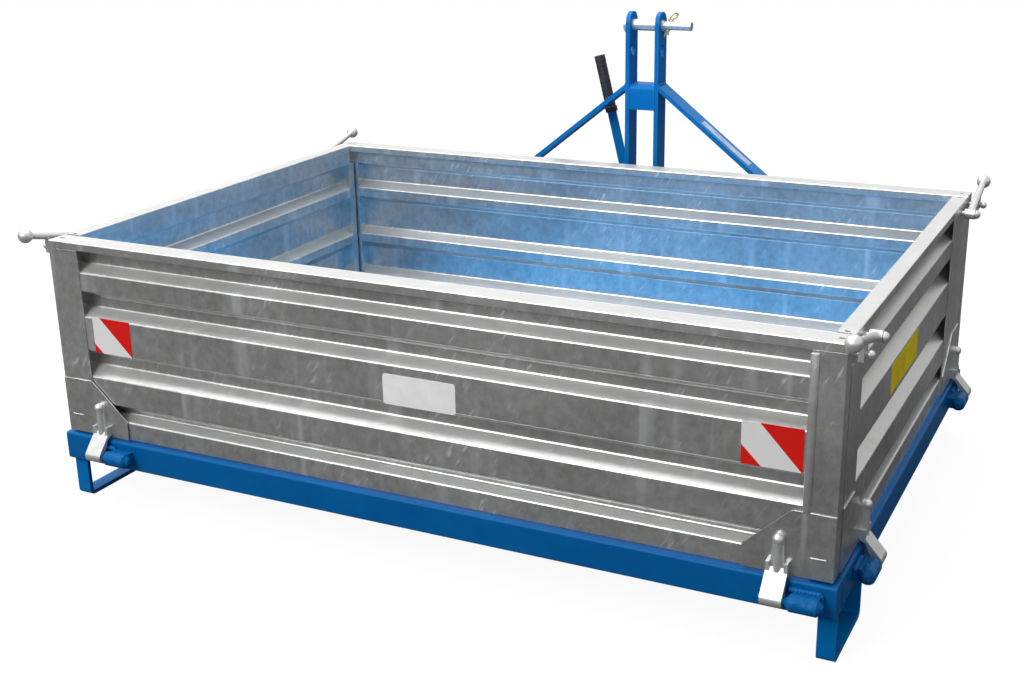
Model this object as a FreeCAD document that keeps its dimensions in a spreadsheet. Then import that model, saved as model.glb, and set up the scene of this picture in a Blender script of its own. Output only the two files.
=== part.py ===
import FreeCAD, Part
import math
import os

import Sketcher
from FreeCAD import Placement, Rotation, Vector

# Tractor transport box: a tipping load box with four profiled steel walls on a painted base frame,
# carried by a three-point headstock. Millimetres. +X runs along the long walls, +Y points to the
# tractor and +Z up. The origin lies on the floor, in the middle of the whole implement's outline.

doc = FreeCAD.newDocument("transport_box")
sheet = doc.addObject("Spreadsheet::Sheet", "Sizes")

DRIVING_SIZES = [
    # load box
    ("box_length", 1500), ("box_width", 1040), ("wall_height", 380), ("wall_gap", 5),
    ("corner_gap", 5), ("sheet_thick", 2), ("crest_depth", 26), ("bend_radius", 4),
    ("long_rail_width", 46), ("end_rail_width", 30), ("top_rail_height", 15), ("top_rail_round", 2),
    ("vent_radius", 4.5), ("vent_inset", 15), ("vent_depth", 6), ("vent_end", 6),
    ("post_depth", 30), ("post_step", 30), ("long_post_width", 39), ("end_post_width", 21),
    ("cover_thick", 2), ("left_cover", 66), ("right_cover", 51), ("near_cover", 73), ("far_cover", 150),
    ("plate_thick", 2), ("plate_reach", 144), ("plate_height", 108),
    ("plate_foot", 38), ("plate_shoulder", 69),
    # roll-formed profile: the crests measured down from the wall's top edge, the flange up from its foot
    ("crest_one_top", 57), ("crest_one_foot", 93), ("crest_two_top", 143), ("crest_two_foot", 210),
    ("crest_three_top", 263), ("crest_three_foot", 314), ("flange_height", 35),
    ("slope_one", 12), ("slope_two", 14), ("slope_three", 19), ("slope_under", 14),
    ("slope_foot", 6),
    # base frame
    ("rail_height", 55), ("rail_width", 40), ("rail_overhang", 8), ("rail_corner", 5),
    ("foot_height", 83), ("foot_width", 30), ("foot_thick", 8), ("foot_length", 165),
    ("foot_inset", 15), ("foot_bend", 12), ("floor_thick", 3), ("member_width", 40),
    ("member_height", 38), ("member_spacing", 300),
    # drop-side hinges
    ("strap_inset", 85), ("strap_near", 168), ("strap_far", 67), ("strap_width", 35),
    ("strap_neck", 22), ("strap_tip", 17), ("strap_top", 68), ("strap_step", 14), ("strap_thick", 6),
    ("rib_radius", 6), ("dome_rise", 9), ("ear_width", 6), ("ear_rise", 5), ("ear_height", 22),
    ("pin_out", 22), ("pin_drop", 26), ("pin_radius", 6), ("eye_radius", 12), ("pin_fit", 0.4),
    ("boss_length", 60), ("boss_radius", 14), ("boss_bevel", 9), ("boss_gap", 2), ("boss_web", 22),
    ("pin_tip", 6),
    # corner levers
    ("lever_inset", 110), ("lever_drop", 20), ("lever_reach", 148), ("lever_rise", 35),
    ("lever_plane", 16), ("hub_radius", 10), ("hub_length", 20), ("ball_radius", 13.5),
    ("arm_root", 8), ("arm_neck", 6), ("lever_bolt", 5), ("dome_radius", 9), ("dome_gap", 1),
    ("stud_inset", 24), ("stud_drop", 20), ("stud_radius", 5), ("stud_knob", 7),
    ("claw_thick", 9), ("claw_wall", 5), ("claw_play", 1.5), ("claw_lip", 3),
    # tipping gear
    ("pivot_shift", 125), ("pivot_height", 47), ("pivot_radius", 12), ("pivot_boss", 22),
    ("pin_proud", 4), ("boss_play", 0.5), ("bracket_thick", 10), ("bracket_width", 60),
    ("beam_width", 30), ("beam_height", 50), ("beam_lift", 22), ("pad_gap", 0.5),
    # headstock
    ("tower_gap", 66), ("upright_depth", 50), ("upright_thick", 10), ("fork_gap", 60),
    ("pin_height", 823), ("second_hole", 55), ("top_pin_radius", 12.7), ("tail_radius", 9.5),
    ("tail_length", 68), ("top_pin_head", 17), ("head_gap", 2), ("bridge_top", 692),
    ("bridge_height", 57), ("bridge_thick", 6), ("brace_thick", 10), ("link_spread", 825),
    ("link_thick", 12), ("link_height", 213), ("link_depth", 90), ("link_pin_radius", 14),
    ("link_pin_length", 78), ("link_pin_hole", 55), ("linchpin_radius", 6), ("pin_bevel", 2),
    ("pin_head_thick", 7), ("clip_offset", 11), ("clip_wire", 2.2), ("clip_play", 1.1), ("clip_ring", 9),
    ("clip_tilt", 20), ("tube_size", 50), ("shoe_thick", 8), ("shoe_length", 120),
    ("shoe_width", 60), ("brace_fall", 284), ("upright_cap", 30),
    # release lever
    ("shaft_radius", 10), ("bush_radius", 17), ("bush_proud", 4), ("lever_gap", 14), ("lever_lean", 14),
    ("bar_thick", 8), ("bar_width", 20), ("bar_boss_proud", 2), ("handle_reach", 548),
    ("grip_length", 134), ("grip_radius", 13), ("grip_collar", 2), ("catch_height", 112),
    ("catch_radius", 7), ("catch_reach", 30), ("hook_gap", 18), ("hook_thick", 10),
    ("hook_width", 30), ("hook_play", 1), ("tool_overrun", 1),
]


class Length:
    """A size that carries its number and the spreadsheet expression it comes from."""

    def __init__(self, value, text):
        self.value = float(value)
        self.text = text

    def __add__(self, other):
        other = length(other)
        return Length(self.value + other.value, f"({self.text} + {other.text})")

    def __radd__(self, other):
        return length(other) + self

    def __sub__(self, other):
        other = length(other)
        return Length(self.value - other.value, f"({self.text} - {other.text})")

    def __rsub__(self, other):
        return length(other) - self

    def __mul__(self, factor):
        return Length(self.value * factor, f"({self.text} * {factor})")

    __rmul__ = __mul__

    def __truediv__(self, factor):
        return Length(self.value / factor, f"({self.text} / {factor})")

    def __neg__(self):
        return self * -1


def length(value):
    """Any plain number as a Length."""
    if isinstance(value, Length):
        return value
    return Length(value, f"({value})")


size = {}
for row, (alias, number) in enumerate(DRIVING_SIZES, start=1):
    sheet.set(f"A{row}", alias)
    sheet.set(f"B{row}", str(number))
    sheet.setAlias(f"B{row}", alias)
    size[alias] = Length(number, f"Sizes.{alias}")
doc.recompute()

nodes = {}


def node(name, shape_object):
    """Register an object as the part's own piece of that name."""
    shape_object.Label = name
    nodes[name] = shape_object
    return shape_object


def put(thing, x=0, y=0, z=0, rotation=Rotation()):
    """Place an object, its position bound to the spreadsheet."""
    x, y, z = length(x), length(y), length(z)
    thing.Placement = Placement(Vector(x.value, y.value, z.value), rotation)
    thing.setExpression("Placement.Base.x", x.text)
    thing.setExpression("Placement.Base.y", y.text)
    thing.setExpression("Placement.Base.z", z.text)
    return thing


def bind(thing, **sizes):
    """Set an object's sizes and bind them to the spreadsheet."""
    for name, value in sizes.items():
        value = length(value)
        setattr(thing, name, value.value)
        thing.setExpression(name, value.text)
    return thing


def block(x0, x1, y0, y1, z0, z1):
    """A rectangular bar between two corners."""
    x0, x1, y0, y1, z0, z1 = (length(v) for v in (x0, x1, y0, y1, z0, z1))
    bar = doc.addObject("Part::Box", "bar")
    bind(bar, Length=x1 - x0, Width=y1 - y0, Height=z1 - z0)
    return put(bar, x0, y0, z0)


TURNS = {
    "+X": Rotation(Vector(0, 1, 0), 90), "-X": Rotation(Vector(0, 1, 0), -90),
    "+Y": Rotation(Vector(1, 0, 0), -90), "-Y": Rotation(Vector(1, 0, 0), 90),
    "+Z": Rotation(), "-Z": Rotation(Vector(1, 0, 0), 180),
}


def rod(x, y, z, axis, reach, radius):
    """A round bar from a point along a row axis."""
    bar = doc.addObject("Part::Cylinder", "rod")
    bind(bar, Height=reach, Radius=radius)
    return put(bar, x, y, z, TURNS[axis])


def ball(x, y, z, radius):
    knob = doc.addObject("Part::Sphere", "ball")
    bind(knob, Radius=radius)
    return put(knob, x, y, z)


def fuse(*pieces):
    whole = doc.addObject("Part::MultiFuse", "fused")
    whole.Shapes = list(pieces)
    whole.Refine = True
    return whole


def cut(base, *tools):
    """The base with every tool taken out of it."""
    tool = tools[0] if len(tools) == 1 else fuse(*tools)
    result = doc.addObject("Part::Cut", "cut")
    result.Base = base
    result.Tool = tool
    return result


def common(*pieces):
    shared = doc.addObject("Part::MultiCommon", "common")
    shared.Shapes = list(pieces)
    return shared


def group(*pieces):
    """Like pieces of one body that share a node."""
    together = doc.addObject("Part::Compound", "group")
    together.Links = list(pieces)
    return together


PLANES = {"XY": "XY_Plane", "XZ": "XZ_Plane", "YZ": "YZ_Plane"}


def padded_outline(plane, points, depth, start=0):
    """A body padded from a closed outline whose corners are bound to the spreadsheet.

    On the XZ plane a positive start moves the sketch along -Y, because that plane faces -Y.
    """
    body = doc.addObject("PartDesign::Body", "body")
    origin_plane = [f for f in body.Origin.OriginFeatures if f.Role == PLANES[plane]][0]
    sketch = body.newObject("Sketcher::SketchObject", "outline")
    sketch.AttachmentSupport = [(origin_plane, "")]
    sketch.MapMode = "FlatFace"
    start = length(start)
    sketch.AttachmentOffset = Placement(Vector(0, 0, start.value), Rotation())
    sketch.setExpression("AttachmentOffset.Base.z", start.text)
    corners = [(length(u), length(v)) for u, v in points]
    count = len(corners)
    for index in range(count):
        here = corners[index]
        there = corners[(index + 1) % count]
        first = Vector(here[0].value, here[1].value, 0)
        second = Vector(there[0].value, there[1].value, 0)
        sketch.addGeometry(Part.LineSegment(first, second))
    for index in range(count):
        following = (index + 1) % count
        sketch.addConstraint(Sketcher.Constraint("Coincident", index, 2, following, 1))
    for index, (u, v) in enumerate(corners):
        for direction, value in (("DistanceX", u), ("DistanceY", v)):
            number = sketch.addConstraint(
                Sketcher.Constraint(direction, -1, 1, index, 1, value.value))
            sketch.setExpression(f"Constraints[{number}]", value.text)
    pad = body.newObject("PartDesign::Pad", "pad")
    pad.Profile = sketch
    depth = length(depth)
    pad.Length = depth.value
    pad.setExpression("Length", depth.text)
    body.Tip = pad
    return body


# Overall places, all worked out from the driving sizes ------------------------------------------

half_length = size["box_length"] / 2
half_width = size["box_width"] / 2
rail_bottom = size["foot_height"]
rail_top = rail_bottom + size["rail_height"]
wall_bottom = rail_top + size["wall_gap"]
wall_top = wall_bottom + size["wall_height"]
front_reach = half_width + size["lever_reach"] - size["lever_inset"] + size["ball_radius"]
rear_reach = half_width + size["tower_gap"] + size["upright_depth"] / 2 + size["shoe_length"] / 2
box_middle = (front_reach - rear_reach) / 2
front_face = box_middle - half_width
rear_face = box_middle + half_width
tower_front = rear_face + size["tower_gap"]
tower_middle = tower_front + size["upright_depth"] / 2
tower_back = tower_front + size["upright_depth"]
hinge_offset = size["rail_overhang"] + size["pin_out"]
pivot_y = box_middle - size["pivot_shift"]

QUARTER_LEFT = Rotation(Vector(0, 0, 1), 90)
QUARTER_RIGHT = Rotation(Vector(0, 0, 1), -90)
HALF_TURN = Rotation(Vector(0, 0, 1), 180)


# The four walls ---------------------------------------------------------------------------------
# Each wall is drawn in a frame of its own: X along it, its outer face at Y 0 with the load space
# towards +Y, and Z up from its bottom edge. stand() then stands the piece in its place.

WALLS = {
    "front": (0, front_face, Rotation()),
    "rear": (0, rear_face, HALF_TURN),
    "left": (-half_length, box_middle, QUARTER_RIGHT),
    "right": (half_length, box_middle, QUARTER_LEFT),
}
LONG_WALLS = ("front", "rear")


def stand(piece, wall):
    x, y, turn = WALLS[wall]
    return put(piece, x, y, wall_bottom, turn)


def wall_half(wall):
    """Half of a wall's length: an end wall fits between the posts of the two long ones."""
    if wall in LONG_WALLS:
        return half_length
    return half_width - size["post_depth"] - size["corner_gap"]


def rail_half(wall):
    """Half of a top rail's length: the long walls' rails overhang the end walls' posts."""
    if wall in LONG_WALLS:
        return half_length
    return half_width - size["long_rail_width"] - size["corner_gap"]


def rail_width(wall):
    return size["long_rail_width"] if wall in LONG_WALLS else size["end_rail_width"]


def post_width(wall):
    return size["long_post_width"] if wall in LONG_WALLS else size["end_post_width"]


def cover_widths(wall):
    """The widths of the cover plates over a wall's two posts, its left end first."""
    if wall in LONG_WALLS:
        return size["left_cover"], size["right_cover"]
    if wall == "right":
        return size["near_cover"], size["far_cover"]
    return size["far_cover"], size["near_cover"]


def profile_points():
    """The roll-formed sheet's outer line from the top rail down: a recess above every crest.

    A wall too low for a crest above its bottom flange leaves that crest out.
    """
    top = size["wall_height"]
    flat = size["cover_thick"]
    deep = flat + size["crest_depth"]
    flange = size["flange_height"]
    points = [(deep, top - size["top_rail_height"])]
    slopes = (size["slope_one"], size["slope_two"], size["slope_three"])
    for name, slope in zip(("one", "two", "three"), slopes):
        crest_top = top - size[f"crest_{name}_top"]
        crest_foot = top - size[f"crest_{name}_foot"]
        recess_top = crest_foot - size["slope_under"]
        if recess_top.value < (flange + size["slope_foot"] + size["bend_radius"] * 2).value:
            break
        points.append((deep, crest_top + slope))
        points.append((flat, crest_top))
        points.append((flat, crest_foot))
        points.append((deep, recess_top))
    points.append((deep, flange + size["slope_foot"]))
    points.append((flat, flange))
    points.append((flat, 0))
    return points


def wall_sheet(wall):
    """The profiled sheet between the posts, its bends rounded on both faces."""
    outer = profile_points()
    thick = size["sheet_thick"]
    inner = [(y + thick, z) for y, z in reversed(outer)]
    reach = wall_half(wall) - post_width(wall)
    flat_sheet = padded_outline("YZ", outer + inner, reach * 2, -reach)
    doc.recompute()
    tight = size["bend_radius"].value
    wide = tight + thick.value
    places = [(length(y).value, length(z).value) for y, z in outer]
    radii = {}
    for before, here, after in zip(places, places[1:], places[2:]):
        bend = ((here[0] - before[0]) * (after[1] - here[1])
                - (here[1] - before[1]) * (after[0] - here[0]))
        outside = wide if bend < 0 else tight
        radii[here] = outside
        radii[(here[0] + thick.value, here[1])] = wide + tight - outside
    edges = []
    for number, edge in enumerate(flat_sheet.Shape.Edges, start=1):
        ends = [v.Point for v in edge.Vertexes]
        if abs(ends[-1].x - ends[0].x) < tight:
            continue
        for (y, z), radius in radii.items():
            if math.hypot(ends[0].y - y, ends[0].z - z) < thick.value / 10:
                edges.append((number, radius, radius))
    rolled = doc.addObject("Part::Fillet", "rolled")
    rolled.Base = flat_sheet
    rolled.Edges = edges
    return rolled


def top_rail(wall):
    """The flat tube along the wall's top edge, with a vent hole for the zinc bath at each end."""
    half = rail_half(wall)
    wide = rail_width(wall)
    top = size["wall_height"]
    tube = block(-half, half, 0, wide, top - size["top_rail_height"], top)
    if wall in LONG_WALLS:
        vent_x = half - size["vent_inset"]
        vent_y = wide / 2
    else:
        vent_x = half - size["vent_end"]
        vent_y = size["vent_inset"]
    vents = [rod(vent_x * side, vent_y, top - size["vent_depth"], "+Z", size["vent_depth"] * 2,
                 size["vent_radius"]) for side in (-1, 1)]
    return cut(soften(tube, size["top_rail_round"], "X"), *vents)


def soften(bar, radius, axis):
    """Round a bar's edges that run along one axis."""
    doc.recompute()
    radius = length(radius)
    direction = {"X": Vector(1, 0, 0), "Y": Vector(0, 1, 0), "Z": Vector(0, 0, 1)}[axis]
    rounded = doc.addObject("Part::Fillet", "rounded")
    rounded.Base = bar
    edges = []
    for number, edge in enumerate(bar.Shape.Edges, start=1):
        run = edge.Vertexes[-1].Point - edge.Vertexes[0].Point
        if run.Length > 0 and abs(run.normalize().dot(direction)) > 0.999:
            edges.append((number, radius.value, radius.value))
    rounded.Edges = edges
    return rounded


def post(wall, side, cover):
    """An end post and its cover plate, stepped down where a long wall's rail passes over it."""
    top = size["wall_height"] - size["top_rail_height"]
    deep = size["post_depth"]
    outer = wall_half(wall) * side
    under = rail_half(wall) * side
    inner = (wall_half(wall) - post_width(wall)) * side
    edge = (wall_half(wall) - cover) * side
    pieces = [span(under, inner, 0, deep, 0, top), span(inner, edge, 0, size["cover_thick"], 0, top)]
    if wall not in LONG_WALLS:
        pieces.append(span(outer, under, 0, deep, 0, top - size["post_step"]))
    return fuse(*pieces)


def span(x0, x1, y0, y1, z0, z1):
    """A bar between two X places given in either order."""
    low, high = sorted((x0, x1), key=lambda place: place.value)
    return block(low, high, y0, y1, z0, z1)


def posts(wall):
    left, right = cover_widths(wall)
    return group(post(wall, -1, left), post(wall, 1, right))


def corner_plates(wall):
    """Flat gussets across the lower corners, cut back at about 45 degrees."""
    outer = wall_half(wall)
    thick = size["plate_thick"]
    plates = []
    for side in (-1, 1):
        edge = outer * side
        outline = [
            (edge, 0), (edge, size["plate_height"]),
            ((outer - size["plate_shoulder"]) * side, size["plate_height"]),
            ((outer - size["plate_reach"]) * side, size["plate_foot"]),
            ((outer - size["plate_reach"]) * side, 0),
        ]
        plates.append(padded_outline("XZ", outline, thick))
    return group(*plates)


def strap_sites(wall):
    """Where a wall's two hinge straps stand, measured along it."""
    if wall in LONG_WALLS:
        site = half_length - size["strap_inset"]
        return (-site, site)
    near = half_width - size["strap_near"]
    far = half_width - size["strap_far"]
    return (-near, far) if wall == "right" else (-far, near)


# The share of a radius that a point at 45 degrees stands across and up.
DIAGONAL = 0.7


def hinge_strap(x):
    """A forged strap: a domed rib on a tapered plate, two ears, flared out to its eye."""
    thick = size["strap_thick"]
    face = size["plate_thick"]
    wide = size["strap_width"] / 2
    neck = size["strap_neck"] / 2
    tip = size["strap_tip"] / 2
    top = size["strap_top"]
    eye_y = -hinge_offset
    eye_z = -(size["wall_gap"] + size["pin_drop"])
    eye = size["eye_radius"]
    side = [
        (-face, top), (-face, size["wall_gap"]), (-face - thick * 2, -size["wall_gap"] / 2),
        (eye_y + thick, eye_z + thick), (eye_y - eye * DIAGONAL, eye_z + eye * DIAGONAL),
        (-face - thick, thick * 2), (-face - thick, top),
    ]
    body = padded_outline("YZ", side, size["strap_width"], x - wide)
    step = size["strap_step"]
    shoulder_z = step + size["strap_thick"]
    front = [
        (x - wide, eye_z - eye * 2), (x + wide, eye_z - eye * 2), (x + wide, step),
        (x + neck, shoulder_z), (x + tip, top - tip), (x - tip, top - tip), (x - neck, shoulder_z),
        (x - wide, step),
    ]
    reach = hinge_offset + eye * 3
    outline = padded_outline("XZ", front, reach, -eye)
    head = rod(x, eye, top - tip, "-Y", reach, tip)
    plate = common(body, fuse(outline, head))
    rib_y = -face - thick
    rib = rod(x, rib_y, thick, "+Z", top - tip - thick, size["rib_radius"])
    dome = ball(x, rib_y, top - tip, size["dome_rise"])
    behind = block(x - wide, x + wide, -face, wide, 0, top * 2)
    ears = []
    for low in (x - wide, x + wide - size["ear_width"]):
        ears.append(block(low, low + size["ear_width"], rib_y - size["ear_rise"], rib_y + thick,
                          thick, size["ear_height"]))
    roll = rod(x - wide, eye_y, eye_z, "+X", size["strap_width"], eye)
    over = size["tool_overrun"]
    bore = rod(x - wide - over, eye_y, eye_z, "+X", size["strap_width"] + over * 2,
               size["pin_radius"] + size["pin_fit"])
    return cut(fuse(plate, rib, dome, roll, *ears), behind, bore)


def hinge_straps(wall):
    return group(*[hinge_strap(x) for x in strap_sites(wall)])


def hinge_boss(x, side):
    """A welded boss on the base rail and its pin, which stands out of it into the strap's eye."""
    pin_y = -hinge_offset
    pin_z = -(size["wall_gap"] + size["pin_drop"])
    start = x + (size["strap_width"] / 2 + size["boss_gap"]) * side
    axis = "+X" if side > 0 else "-X"
    radius = size["boss_radius"]
    barrel = rod(start, pin_y, pin_z, axis, size["boss_length"], radius)
    ends = soften_ends(barrel, size["boss_bevel"])
    low, high = (start, start + size["boss_length"]) if side > 0 else (
        start - size["boss_length"], start)
    bevel = size["boss_bevel"]
    web = block(low + bevel, high - bevel, pin_y, -size["rail_overhang"],
                pin_z - size["boss_web"] / 2, pin_z + size["boss_web"] / 2)
    back = "-X" if side > 0 else "+X"
    pin = rod(start + bevel * side, pin_y, pin_z, back,
              size["strap_width"] + bevel + size["pin_tip"], size["pin_radius"])
    return fuse(ends, web, pin)


def soften_ends(barrel, bevel):
    """Bevel both ends of a round bar."""
    doc.recompute()
    bevel = length(bevel)
    worked = doc.addObject("Part::Chamfer", "beveled")
    worked.Base = barrel
    rims = []
    for number, edge in enumerate(barrel.Shape.Edges, start=1):
        if edge.isClosed():
            rims.append((number, bevel.value, bevel.value))
    worked.Edges = rims
    return worked


OPENING_WALLS = ("front", "left", "right")
BOSS_SIDE = {"front": 1, "left": 1, "right": -1}

for wall in WALLS:
    node(f"{wall}_wall_sheet", stand(wall_sheet(wall), wall))
    node(f"{wall}_wall_top_rail", stand(group(top_rail(wall)), wall))
    node(f"{wall}_wall_posts", stand(posts(wall), wall))
    node(f"{wall}_wall_corner_plates", stand(corner_plates(wall), wall))
for wall in OPENING_WALLS:
    node(f"{wall}_wall_hinge_straps", stand(hinge_straps(wall), wall))
for wall in OPENING_WALLS:
    pair = [hinge_boss(x, BOSS_SIDE[wall]) for x in strap_sites(wall)]
    node(f"{wall}_hinge_bosses", stand(group(*pair), wall))


# Corner levers ----------------------------------------------------------------------------------
# A lever is drawn about its bolt: the arm runs along -Y, a little uphill, and the end wall's outer
# face is at X 0. The claw under the arm drops over the stud on the long wall's end.

def lever_stud():
    """The stud on a long wall's end: a neck and a round knob beyond the claw."""
    reach = size["lever_plane"] + size["claw_thick"] / 2 + size["stud_knob"]
    neck = rod(0, 0, 0, "+X", reach, size["stud_radius"])
    return fuse(neck, ball(reach, 0, 0, size["stud_knob"]))


def lever_bolt():
    """The bolt that carries a lever, with its round head."""
    reach = size["lever_plane"] + size["hub_length"] / 2 + size["dome_gap"]
    dome = ball(reach, 0, 0, size["dome_radius"])
    skirt = block(-size["dome_radius"] * 2, reach, -size["dome_radius"] * 2, size["dome_radius"] * 2,
                  -size["dome_radius"] * 2, size["dome_radius"] * 2)
    return fuse(rod(0, 0, 0, "+X", reach + size["dome_gap"], size["lever_bolt"]), cut(dome, skirt))


def corner_lever(hand):
    """A forged lever: hub, tapered arm, ball end and the claw. hand is +1 towards -Y, -1 towards +Y."""
    middle = size["lever_plane"]
    hub = rod(middle - size["hub_length"] / 2, 0, 0, "+X", size["hub_length"], size["hub_radius"])
    reach = size["lever_reach"]
    rise = size["lever_rise"]
    run = math.hypot(reach.value, rise.value)
    arm = doc.addObject("Part::Cone", "arm")
    bind(arm, Radius1=size["arm_root"], Radius2=size["arm_neck"])
    arm.Height = run
    arm.setExpression("Height", f"sqrt({reach.text}^2 + {rise.text}^2)")
    slope = Vector(0, -reach.value * hand, rise.value)
    put(arm, middle, 0, 0, Rotation(Vector(0, 0, 1), slope))
    knob = ball(middle, -reach * hand, rise, size["ball_radius"])
    stud_y = -(size["lever_inset"] - size["stud_inset"])
    stud_z = size["lever_drop"] - size["stud_drop"]
    half = size["claw_thick"] / 2
    slot = size["stud_radius"] + size["claw_play"]
    outer = slot + size["claw_wall"]
    arm_height = rise * ((size["lever_inset"] - size["stud_inset"]).value / reach.value)
    low = min((stud_y + outer) * hand, (stud_y - outer) * hand, key=lambda v: v.value)
    high = max((stud_y + outer) * hand, (stud_y - outer) * hand, key=lambda v: v.value)
    over = size["tool_overrun"]
    claw = block(middle - half, middle + half, low, high, stud_z - slot - size["claw_lip"], arm_height)
    mouth = block(middle - half - over, middle + half + over, low + size["claw_wall"],
                  high - size["claw_wall"], stud_z - slot * 3, stud_z)
    throat = rod(middle - half - over, stud_y * hand, stud_z, "+X", size["claw_thick"] + over * 2, slot)
    bore = rod(-over, 0, 0, "+X", size["hub_length"] * 2, size["lever_bolt"] + size["pin_fit"])
    return cut(fuse(hub, arm, knob, claw), mouth, throat, bore)


lever_z = wall_top - size["lever_drop"]
stud_z = wall_top - size["stud_drop"]
END_TURNS = {"left": HALF_TURN, "right": Rotation()}
END_SIGNS = {"left": -1, "right": 1}
for end, turn in END_TURNS.items():
    face_x = half_length * END_SIGNS[end]
    bolts = []
    for row, sign in (("front", -1), ("rear", 1)):
        lever_y = box_middle + (half_width - size["lever_inset"]) * sign
        hand = 1 if (row == "front") == (end == "right") else -1
        node(f"{row}_{end}_lever", put(group(corner_lever(hand)), face_x, lever_y, lever_z, turn))
        bolts.append(put(lever_bolt(), face_x, lever_y, lever_z, turn))
    node(f"{end}_lever_bolts", group(*bolts))
for row, sign in (("front", -1), ("rear", 1)):
    stud_y = box_middle + (half_width - size["stud_inset"]) * sign
    studs = [put(lever_stud(), half_length * END_SIGNS[end], stud_y, stud_z, END_TURNS[end])
             for end in END_TURNS]
    node(f"{row}_lever_studs", group(*studs))


# Base frame -------------------------------------------------------------------------------------

rail_end = half_length + size["rail_overhang"]
rail_side = half_width + size["rail_overhang"]
inner_end = rail_end - size["rail_width"]
inner_side = rail_side - size["rail_width"]


def u_bar(x0, x1, y0, y1, top, thick, bend):
    """A flat bar bent to a U that stands on the floor, seen along X."""
    outer = soften(block(x0, x1, y0, y1, 0, top + bend * 2), bend, "X")
    over = size["tool_overrun"]
    hollow = soften(block(x0 - over, x1 + over, y0 + thick, y1 - thick, thick, top + bend * 3),
                    bend - thick, "X")
    above = block(x0 - over, x1 + over, y0 - over, y1 + over, top, top + bend * 3)
    return cut(outer, hollow, above)


def long_rail(sign):
    outer = box_middle + rail_side * sign
    inner = box_middle + inner_side * sign
    low, high = (inner, outer) if sign > 0 else (outer, inner)
    return soften(block(-rail_end, rail_end, low, high, rail_bottom, rail_top),
                  size["rail_corner"], "X")


def end_rail(sign):
    low, high = (inner_end, rail_end) if sign > 0 else (-rail_end, -inner_end)
    return soften(block(low, high, box_middle - inner_side, box_middle + inner_side,
                        rail_bottom, rail_top), size["rail_corner"], "Y")


floor_bottom = rail_top - size["floor_thick"]
member_bottom = floor_bottom - size["member_height"]
half_member = size["member_width"] / 2
members = []
member_reach = int((inner_end - half_member).value // size["member_spacing"].value)
for step in range(-member_reach, member_reach + 1):
    member_x = size["member_spacing"] * step
    members.append(block(member_x - half_member, member_x + half_member, box_middle - inner_side,
                         box_middle + inner_side, member_bottom, floor_bottom))

foot_front = box_middle - rail_side + size["foot_inset"]
foot_back = foot_front + size["foot_length"]
feet = []
for low in (-rail_end, rail_end - size["foot_width"]):
    feet.append(u_bar(low, low + size["foot_width"], foot_front, foot_back, rail_bottom,
                      size["foot_thick"], size["foot_bend"]))


def rear_wall_bracket(x):
    """A joggled lug that holds the fixed rear wall to its rail."""
    wide = size["strap_width"] / 2
    overhang = size["rail_overhang"]
    upper = block(x - wide, x + wide, -overhang, -size["plate_thick"], 0, size["strap_top"])
    lower = block(x - wide, x + wide, -overhang - size["strap_thick"], -overhang,
                  -(size["wall_gap"] + size["pin_drop"]) - size["eye_radius"], size["strap_top"])
    return fuse(upper, lower)


node("base_long_rails", group(long_rail(-1), long_rail(1)))
node("base_end_rails", group(end_rail(-1), end_rail(1)))
node("floor_plate", block(-inner_end, inner_end, box_middle - inner_side, box_middle + inner_side,
                          floor_bottom, rail_top))
node("floor_members", group(*members))
node("front_feet", group(*feet))
node("rear_wall_brackets", stand(group(*[rear_wall_bracket(x) for x in strap_sites("rear")]), "rear"))
node("catch_pin", rod(0, box_middle + rail_side, size["catch_height"], "+Y", size["catch_reach"],
                      size["catch_radius"]))


# Tipping gear -----------------------------------------------------------------------------------

def pivot_bracket(beam_x):
    """Two cheeks on a floor member, either side of a chassis beam."""
    half = size["bracket_width"] / 2
    inner = size["member_width"] / 2
    outer = inner + size["bracket_thick"]
    top = floor_bottom - size["bracket_thick"]
    cheeks = []
    for low, high in ((beam_x - outer, beam_x - inner), (beam_x + inner, beam_x + outer)):
        cheek = fuse(block(low, high, pivot_y - half, pivot_y + half, size["pivot_height"], top),
                     rod(low, pivot_y, size["pivot_height"], "+X", size["bracket_thick"], half))
        over = size["tool_overrun"]
        cheeks.append(cut(cheek, rod(low - over, pivot_y, size["pivot_height"], "+X",
                                     size["bracket_thick"] + over * 2, size["pivot_radius"])))
    return group(*cheeks)


def pivot_pin(beam_x):
    reach = size["member_width"] / 2 + size["bracket_thick"] + size["pin_proud"]
    return rod(beam_x - reach, pivot_y, size["pivot_height"], "+X", reach * 2, size["pivot_radius"])


def chassis_beam(beam_x):
    """A beam from the pivot boss back to the ground beam, with the pad the box rests on."""
    half = size["beam_width"] / 2
    top = size["beam_lift"] + size["beam_height"]
    boss_half = size["member_width"] / 2 - size["boss_play"]
    beam = block(beam_x - half, beam_x + half, pivot_y, tower_front, size["beam_lift"], top)
    boss = rod(beam_x - boss_half, pivot_y, size["pivot_height"], "+X", boss_half * 2,
               size["pivot_boss"])
    pad = block(beam_x - half, beam_x + half, box_middle + inner_side, box_middle + rail_side,
                top, rail_bottom - size["pad_gap"])
    over = size["tool_overrun"]
    bore = rod(beam_x - boss_half - over, pivot_y, size["pivot_height"], "+X",
               (boss_half + over) * 2, size["pivot_radius"] + size["pin_fit"])
    return cut(fuse(beam, boss, pad), bore)


BEAM_SITES = (-size["member_spacing"], size["member_spacing"])
node("pivot_brackets", group(*[pivot_bracket(x) for x in BEAM_SITES]))
node("pivot_pins", group(*[pivot_pin(x) for x in BEAM_SITES]))
node("chassis_beams", group(*[chassis_beam(x) for x in BEAM_SITES]))


# Headstock --------------------------------------------------------------------------------------

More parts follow.
